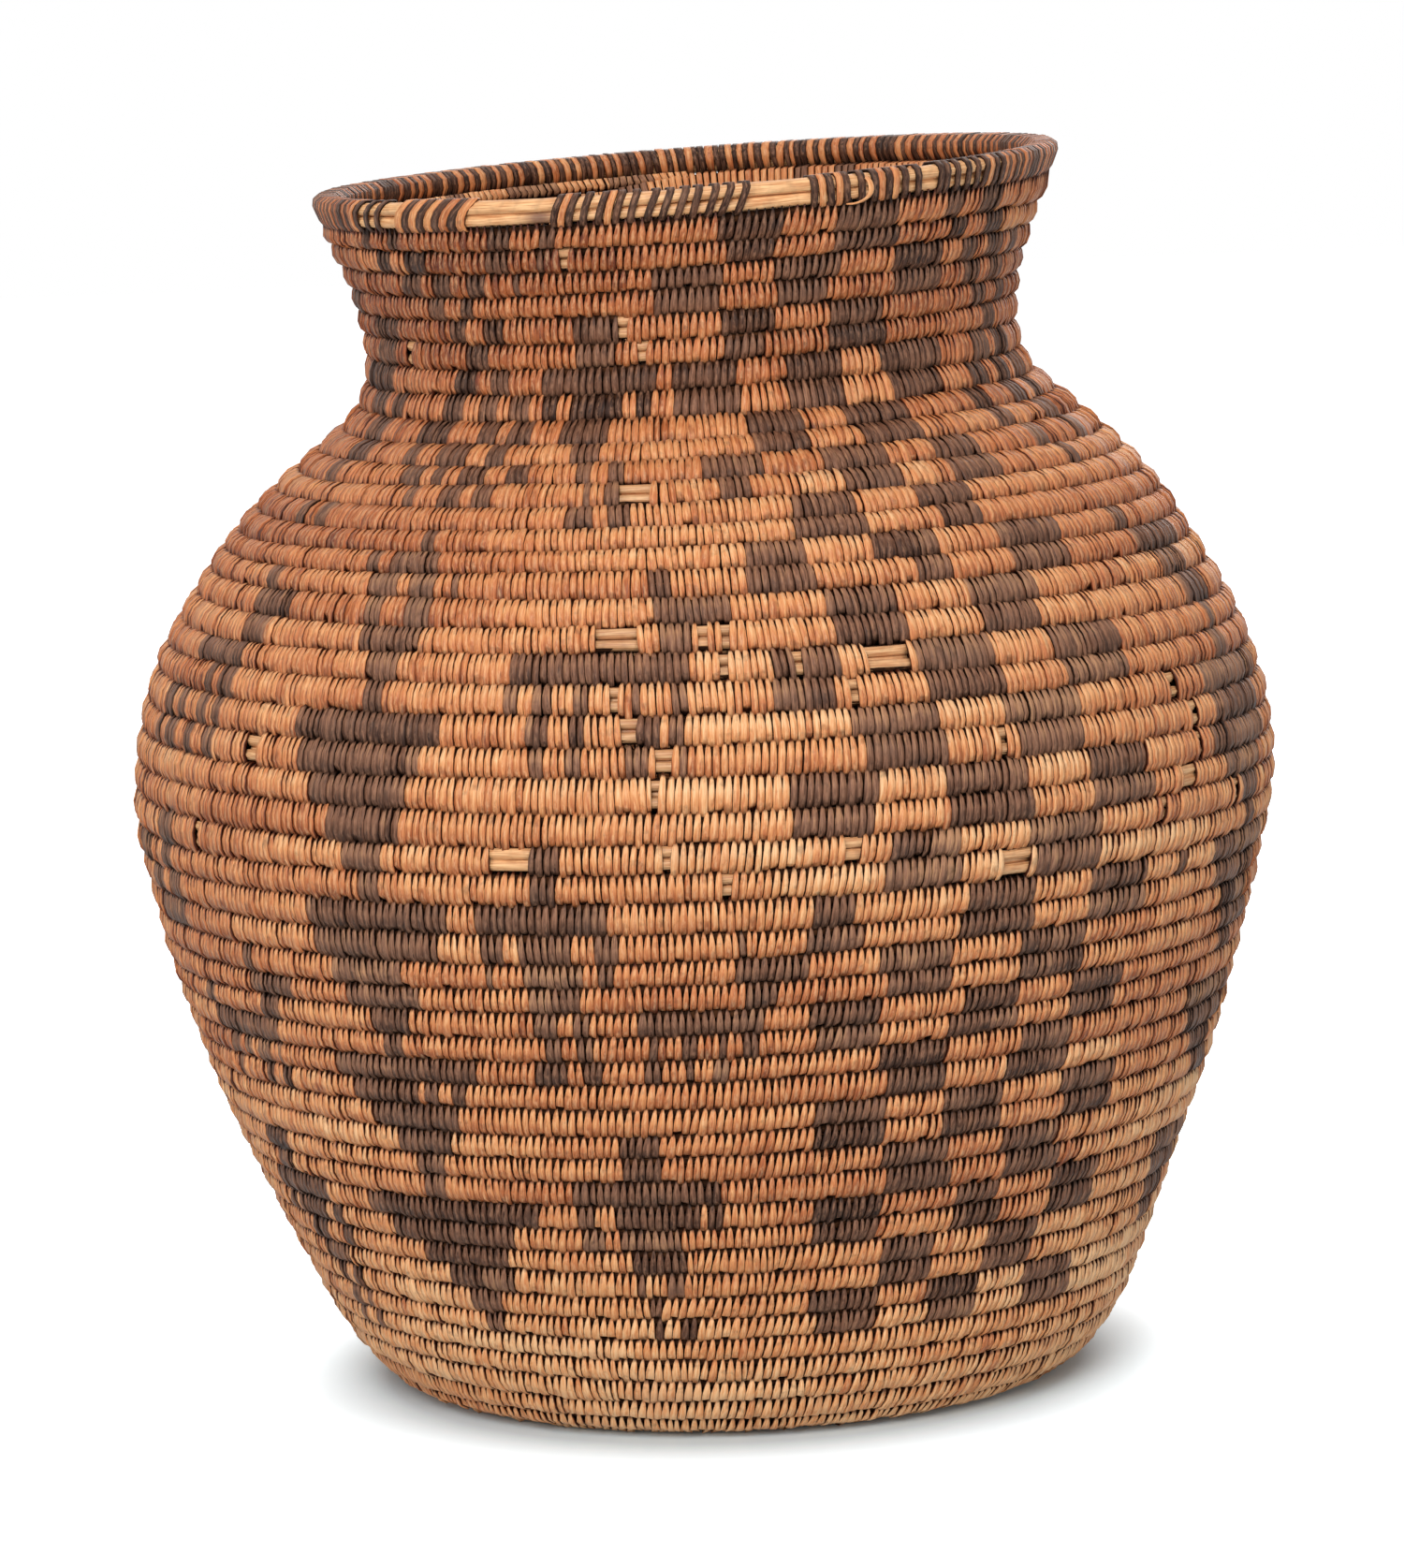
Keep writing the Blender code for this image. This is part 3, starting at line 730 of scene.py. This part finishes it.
def map_rings(data, number, side, station, count):
    """A flat map for baking, with a cell of a square grid for each ring. The narrow faces beside a ring's
    back have no width in it, and the inner faces lie on the back's."""
    corners = np.empty(len(data.loops), int)
    data.loops.foreach_get("vertex_index", corners)
    spot = station[corners].reshape(-1, 4).astype(float)
    spot[(spot.max(1) - spot.min(1) > 2)[:, None] & (spot == 0)] = STITCH_STATIONS
    edge = np.digitize(side[corners], (-0.4, 0, 0.4)).reshape(-1, 4).astype(float)
    edge[(edge.max(1) - edge.min(1) > 2)[:, None] & (edge == 0)] = 4
    cells = math.ceil(math.sqrt(count))
    cell = number[corners].reshape(-1, 4)
    room = 1 - 2 * CELL_MARGIN
    across = (cell % cells + CELL_MARGIN + room * edge / 4) / cells
    along = (cell // cells + CELL_MARGIN + room * spot / STITCH_STATIONS) / cells
    uv = data.uv_layers.new(name="OFBake")
    uv.data.foreach_set("uv", np.stack([across, along], 2).astype(np.float32).ravel())


turns = heads / FULL_TURN
# The patina table's painted light and shade, with the wall's own colour, for each light stitch
patina_and_light = between(PATINA_AND_PAINTED_LIGHT, turns)
patina_and_light_side = patina_and_light[:, [0, -1]].mean(1)
patina_and_light = np.column_stack([patina_and_light_side, patina_and_light, patina_and_light_side])
front_angle = (stitch_angle + 180) % 180 - 90
patina_and_light_place = np.interp(front_angle, PATINA_AND_LIGHT_ANGLES, range(len(PATINA_AND_LIGHT_ANGLES)))
patina_and_light_column = np.minimum(patina_and_light_place.astype(int), len(PATINA_AND_LIGHT_ANGLES) - 2)
patina_and_light_part = patina_and_light_place - patina_and_light_column
patina_and_light = (patina_and_light[np.arange(len(heads)), patina_and_light_column] * (1 - patina_and_light_part)
          + patina_and_light[np.arange(len(heads)), patina_and_light_column + 1] * patina_and_light_part)
tan_tone = read_table(TONES, turns) + splint_tones(len(heads), shortest=12, longest=40, spread=0.08)
dark_tone = read_table(DARK_TONES, turns) + splint_tones(len(heads), shortest=8, longest=24, spread=0.11)
painted_light_grade = read_table(PAINTED_LIGHT_GRADES, turns)
pinch = read_table(PINCHES, turns) * hand.uniform(0.7, 1.3, len(heads))
# One stitch in twenty-five is a browner splint
tan_tone = tan_tone + patina_and_light - 0.22 * (hand.random(len(heads)) < 0.04)
# The hand's unevenness: each stitch's place, width, thickness, droop at its foot, and tilt to one side
heads = heads + hand.normal(0, 0.05, len(heads)) * head_spacing
feet = feet + hand.normal(0, 0.05, len(heads)) * head_spacing
girth = 1 + hand.normal(0, 0.08, len(heads))
bulge = 1 + 0.2 * np.clip(hand.normal(0, 1, len(heads)), -2, 2)
sag = hand.normal(0, 0.05, len(heads))
tip = 0.18 * np.clip(hand.normal(0, 1, len(heads)), -2, 2)


def side_gaps(places, least, most):
    """The room to the next stitch and to the one before, so that a stitch fills what its neighbours leave."""
    gaps = -np.diff(places)
    both = np.stack([np.append(gaps, gaps[-1:]), np.append(gaps[:1], gaps)])
    return np.clip(both, least * head_spacing, most * head_spacing)


head_gaps = side_gaps(heads, least=0.7, most=1.6)
foot_gaps = side_gaps(feet, least=0.45, most=1.8)
path_share, path_depth, path_width, path_pinch, path_thick = np.array(STITCH_PATH).T
path_painted_light, path_soil_and_shade = np.array(PATH_PAINTED_LIGHT), np.array(PATH_SOIL_AND_SHADE)
path_step = np.hypot(np.diff(path_share) * TURN_HEIGHT, np.diff(path_depth))
path_length = np.concatenate([[0], np.cumsum(path_step)])


def lay_stitches(name, chosen, tones, material, slot, nodes):
    """Bends a row of rings onto the coil, each at its own stitch's place."""
    data, number, side, station, is_back = row_of_rings(len(chosen))
    stitch = chosen[number]
    share, depth = path_share[station], path_depth[station]
    is_tip = (stitch_turn[stitch] == 0) & (station < 2)
    share = share - is_tip * FIRST_REACH / (1 + station)
    depth = depth - is_tip * np.where(station == 0, *FIRST_RISE)
    share = share + sag[stitch] * (station > 4) * (station < 8)
    thick = path_thick[station] * bulge[stitch] * (1 + np.sign(side) * tip[stitch])
    down, depth = raise_back(share * TURN_HEIGHT, depth, BUNDLE_MIDDLE, is_back * thick)
    share = down / TURN_HEIGHT
    part = np.clip(share, 0, 1.1)
    run = heads[stitch] + (feet - heads)[stitch] * part
    before = (side > 0).astype(int)
    spacing = head_gaps[before, stitch] + (foot_gaps - head_gaps)[before, stitch] * part
    width = path_width[station] - path_pinch[station] * pinch[stitch]
    shift = side * width * spacing * girth[stitch]
    places = coil_point(run + shift, share, depth / 1000)
    set_places(data, places)
    # Each stitch has its own stretch of the wood's pattern
    radius = np.hypot(places[:, 0], places[:, 1])
    write_grain(data, np.stack([shift * radius * 1000, path_length[station] + stitch * 3.7 % 90,
                                stitch * 1.37 % 50], 1))
    # Painted light and shade in each stitch's tone: lighter above, darker below, and lighter inside
    shade = path_painted_light[station] * painted_light_grade[stitch] + INSIDE_PAINTED_LIGHT * (station > 6)
    write_number(data, "tone", tones[stitch] + shade)
    # Soil and painted shade: darker at a stitch's head and foot and in the grooves along its sides
    write_number(data, "soil", path_soil_and_shade[station] + SIDE_SOIL_AND_SHADE * ~is_back)
    map_rings(data, number, side, station, len(chosen))
    finish_piece(name, data, material, slot, *nodes)


# The part's own names for the wall: each part's turns, and in how many lengths its stitches are sewn
WALL_PARTS = (("neck", 8, 2), ("shoulder", 8, 2), ("belly", 12, 3), ("lower_wall", 14, 4), ("foot", 6, 2))
first_turn = 0
for part, count, pieces in WALL_PARTS:
    turn_names = [f"{part}_turn_{count - place:02d}" for place in range(count)]
    for piece in range(pieces):
        start, end = count * piece // pieces, count * (piece + 1) // pieces
        held = (stitch_turn >= first_turn + start) & (stitch_turn < first_turn + end) & ~is_lost
        light, dark = np.flatnonzero(held & ~is_dark), np.flatnonzero(held & is_dark)
        names = turn_names[start:end]
        lay_stitches(f"{part}_willow_stitches_{piece + 1}", light, tan_tone, willow, "tan_splint", names)
        if len(dark):
            lay_stitches(f"{part}_dark_stitches_{piece + 1}", dark, dark_tone, pod_skin, "dark_splint", names)
    first_turn += count
floor_stitches = np.flatnonzero(stitch_turn >= first_turn)
lay_stitches("floor_willow_stitches", floor_stitches, tan_tone, willow, "tan_splint", ["base_coil"])

# The start of the coil: the shoots' tips bent round into a button, under stitches that all run from its
# middle outwards and back through it.
KNOT_STITCHES = 17
KNOT_PATH = (
    # radius and height over the floor's outer face in mm, down the middle, out underneath and back on top
    (0.9, 1.30), (2.6, 0.75), (4.8, 0.62), (7.0, 0.75), (8.5, 1.40),
    (8.9, 3.00), (8.7, 5.00), (7.0, 6.20), (4.0, 6.45), (1.1, 5.60),
)
KNOT_MIDDLE = (4.8, 3.6)
KNOT_SPLINT = 0.5
KNOT_FILL = 0.94
data, number, side, station, is_back = row_of_rings(KNOT_STITCHES)
radius, height = np.array(KNOT_PATH)[station].T
radius, height = raise_back(radius, height, KNOT_MIDDLE, KNOT_SPLINT * is_back)
angle = (number - KNOT_FILL * side) * FULL_TURN / KNOT_STITCHES
places = np.stack([radius * np.cos(angle), radius * np.sin(angle), height], 1) / 1000
places[:, 0] += LEAN_SHARES[-1][1] * BELLY_RADIUS
set_places(data, places)
across = side * radius * FULL_TURN / KNOT_STITCHES
write_grain(data, np.stack([across, path_length[station], number * 3.1], 1))
write_number(data, "tone", 0.55 + 0.08 * np.sin(number * 2.4))
# Soil and painted shade, in the knot's middle and on the stitches' sides where they meet
write_number(data, "soil", 0.4 * (radius < 2) + 0.8 * ~is_back)
map_rings(data, number, side, station, KNOT_STITCHES)
finish_piece("start_knot_stitches", data, willow, "tan_splint", "start_knot")

# Bare shoots in the worn places: the foundation's own peeled shoots, still clean and straw-coloured, because
# the stitches covered them until they broke. Two lie in view and one behind.
BARE_RADIUS = 0.0014
BARE_POINTS = 8
straw_wood = shoot_wood("bare_peeled_shoot", "#fbc58d", "#cb8651", 0.35)
lines = [
    shoot_line(np.linspace(*span, BARE_POINTS), side, depth)
    for span in bare_spans for side, depth in BARE_SPOTS
]
data = tube("bare_shoots", lines, BARE_RADIUS)
shoot_grain(data, BARE_POINTS, SHOOT_SIDES, BARE_RADIUS)
write_number(data, "stain", np.repeat(bare_stains, BARE_POINTS * SHOOT_SIDES))
finish_piece("bare_shoots", data, straw_wood, "peeled_shoot")

# The rim: three more peeled shoots in a bundle on the last turn, two in the outer face and one inside. Each
# goes once round, and its ends meet behind, under the binding.
COIL_THICKNESS = 0.0072
RIM_RADIUS = 0.00164
RIM_SIDES = 8
RIM_POINTS = 640
RIM_ROUND = 359.7
# A dark bruise on the lower shoot: the angle of its middle and its reach, in degrees
RIM_BRUISE = -112.5
BRUISE_REACH = 2.6
# Name, the angle where its ends meet, and its place out and up in mm
RIM_SHOOTS = (
    ("rim_shoot_lower", 108, 1.39, 2.15), ("rim_shoot_upper", 54, 1.39, 5.40),
    ("rim_shoot_inner", 126, -1.39, 3.80),
)


def rim_point(out, up, angle):
    """Points in the rim, in millimetres out from the middle of the wall's top edge and up along the wall."""
    top = np.zeros(len(angle))
    return wall_point(top, angle, COIL_THICKNESS / 2 - np.asarray(out) / 1000, np.asarray(up) / 1000)


for name, start, out, up in RIM_SHOOTS:
    angle = np.linspace(math.radians(start - RIM_ROUND), math.radians(start), RIM_POINTS)
    out = out + 0.12 * np.sin(5 * angle + up)
    up = up + 0.1 * np.sin(7 * angle + up)
    data = tube(f"{name}_wood", [rim_point(out, up, angle)], RIM_RADIUS, RIM_SIDES)
    shoot_grain(data, RIM_POINTS, RIM_SIDES, RIM_RADIUS)
    if name == "rim_shoot_lower":
        degrees = np.repeat(np.degrees(angle), RIM_SIDES)
        write_number(data, "stain", 0.75 * np.exp(-((degrees - RIM_BRUISE) / BRUISE_REACH) ** 2))
    finish_piece(f"{name}_wood", data, straw_wood, "peeled_shoot", name)

# The binding: a willow and a dark splint wound by turns round the bundle and down through the last turn's
# stitches. It lies close behind and at the sides, and is spaced out or worn away at the front.
LASHING_PATH = (
    # out and up in mm, from the top down the outer face and back up inside
    (0.9, 7.20), (2.45, 6.85), (3.13, 5.50), (3.08, 3.80), (3.13, 2.20),
    (2.75, 0.60), (1.2, -0.80), (-2.3, 1.95), (-3.15, 3.80), (-2.3, 5.70),
)
LASHING_MIDDLE = (0.46, 3.7)
LASHING_HALF = 3.5
LASHING_THICKNESS = 0.5
LASHING_RADIUS = 91.5
LASHING_WIDTH = 1.9
# The broad ones at the left, in mm, and the angles between which they lie
BROAD_WIDTH = 2.75
BROAD_SPAN = (-140, -125)
# The front's lashings one by one, by angle
DARK_LASHINGS = (
    -150.5, -147.3, -144.2, -137.1, -133.8, -130.6, -127.3, -109.8, -107.4, -105.2, -102.8, -100.2, -98.0,
    -95.3, -93.1, -90.8, -88.7, -86.3, -84.2, -81.8, -70.8, -68.2, -65.6, -63.1, -60.9, -58.4, -55.5, -53.0,
    -48.6, -47.3, -45.0, -42.6, -40.4, -38.3, -35.6,
)
WILLOW_LASHINGS = (
    -152.0, -138.7, -135.4, -132.2, -129.0, -125.7, -108.6, -101.5, -69.5, -66.8, -59.7, -57.2, -36.9,
)
# The rest, close together: from and to an angle, the step from one to the next, and the dark ones' share
CLOSE_LASHINGS = ((-34.4, 150, 1.17, 0.56), (150, 207.2, 1.05, 0.72))
# By angle: how many degrees a lashing leans, how far it bends in the middle, and how much lighter it is
LASHING_LEANS = ((-152, 2.5), (-138, 4.4), (-126, 4.4), (-110, 2.4), (-82, 2.2), (-71, -1.3), (-35, -1.2),
                 (20, -1.0), (100, 1.6), (207, 2.0))
LASHING_BENDS = ((-153, 0), (-152, 1.6), (-125, 1.4), (-108, 0.4), (-80, 0))
LASHING_TONES = ((-34, 0.0), (0, -0.12), (25, 0.0), (60, 0.12), (140, 0.16), (165, -0.1))
LEAN_REACH = 0.54
FRONT_TONE = 0.58
CLOSE_TONE = 0.44
DARK_TONE = 0.26
lashing_angle = list(DARK_LASHINGS + WILLOW_LASHINGS)
front_count = len(lashing_angle)
lashing_dark = [True] * len(DARK_LASHINGS) + [False] * len(WILLOW_LASHINGS)
lashing_width = [
    BROAD_WIDTH if BROAD_SPAN[0] < angle < BROAD_SPAN[1] else LASHING_WIDTH for angle in lashing_angle
]
for first, last, step, dark_share in CLOSE_LASHINGS:
    angle = first
    dark = True
    while angle < last:
        wide = step * float(hand.uniform(0.7, 1.3))
        lashing_angle.append(angle + wide / 2)
        lashing_dark.append(dark)
        lashing_width.append(math.radians(wide) * LASHING_RADIUS)
        angle += wide
        dark = not dark or float(hand.random()) < 2 * (dark_share - 0.5) + 0.06
lashing_width = np.array(lashing_width)
lashing_dark = np.array(lashing_dark)
lashing_lean = read_table(LASHING_LEANS, lashing_angle) + hand.normal(0, 0.25, len(lashing_angle))
lashing_bend = read_table(LASHING_BENDS, lashing_angle)
lashing_bulge = 1 + hand.normal(0, 0.12, len(lashing_angle))
lashing_tone = np.where(np.arange(len(lashing_angle)) < front_count, FRONT_TONE, CLOSE_TONE)
lashing_tone = lashing_tone + read_table(LASHING_TONES, lashing_angle)
lashing_tone = np.where(lashing_dark, DARK_TONE, lashing_tone) + hand.normal(0, 0.08, len(lashing_angle))
lashing_angle = np.radians(lashing_angle)
for name, chosen, material, slot in (
    ("rim_willow_lashings", np.flatnonzero(~lashing_dark), willow, "tan_splint"),
    ("rim_dark_lashings", np.flatnonzero(lashing_dark), pod_skin, "dark_splint"),
):
    data, number, side, station, is_back = row_of_rings(len(chosen))
    lashing = chosen[number]
    out, up = np.array(LASHING_PATH)[station].T
    raised = raise_back(out, up, LASHING_MIDDLE, is_back * LASHING_THICKNESS * lashing_bulge[lashing])
    # A splint narrows where it dives between the stitches
    width = lashing_width[lashing] * np.where(up < 0, 0.6, 1.0)
    climb = (up - LASHING_MIDDLE[1]) / LASHING_HALF
    shift = side * width + lashing_lean[lashing] * climb * LEAN_REACH
    shift = shift + lashing_bend[lashing] * climb**2 * (out > 0)
    set_places(data, rim_point(*raised, lashing_angle[lashing] + shift / LASHING_RADIUS))
    along = path_length[station] + lashing * 3.7 % 90
    write_grain(data, np.stack([side * width, along, lashing * 1.9 % 50], 1))
    write_number(data, "tone", lashing_tone[lashing])
    # Soil and painted shade where a lashing dives between the stitches, and on its sides
    write_number(data, "soil", 0.5 * (up < 0.5) + 0.7 * ~is_back)
    map_rings(data, number, side, station, len(chosen))
    finish_piece(name, data, material, slot, "rim_lashing_right", "rim_lashing_back", "rim_lashing_left")

# A loose end of willow splint that has sprung out of the binding at the right. Split thin, it keeps the curl
# that it had round the shoots.
CURL_PATH = (
    # angle in degrees, out and up in mm
    (-62.6, 2.6, 6.6), (-62.4, 3.9, 6.1), (-62.3, 4.9, 5.1), (-62.4, 5.5, 3.8), (-62.9, 5.6, 2.6),
    (-63.6, 5.2, 1.6), (-64.5, 4.4, 0.8), (-65.3, 3.5, 0.4),
)
CURL_WIDTH = 0.0008
CURL_FLATNESS = 0.3
CURL_POINTS = 22
spots = between([(number, *spot) for number, spot in enumerate(CURL_PATH)],
                np.linspace(0, len(CURL_PATH) - 1, CURL_POINTS))
turned = np.radians(spots[:, 0])
data = tube("loose_splint_end", [rim_point(spots[:, 1], spots[:, 2], turned)], CURL_WIDTH, RIM_SIDES)
shoot_grain(data, CURL_POINTS, RIM_SIDES, CURL_WIDTH)
rings = read_places(data).reshape(CURL_POINTS, RIM_SIDES, 3)
middles = rings.mean(1, keepdims=True)
around = np.stack([-np.sin(turned), np.cos(turned), 0 * turned], 1)[:, None]
off = rings - middles
kept = (off * around).sum(2, keepdims=True) * around
rings = middles + kept + CURL_FLATNESS * (off - kept)
set_places(data, rings)
write_number(data, "tone", np.full(rings.size // 3, 0.8))
write_number(data, "soil", np.zeros(rings.size // 3))
finish_piece("loose_splint_end", data, willow, "tan_splint")

bpy.data.meshes.remove(ring_data)
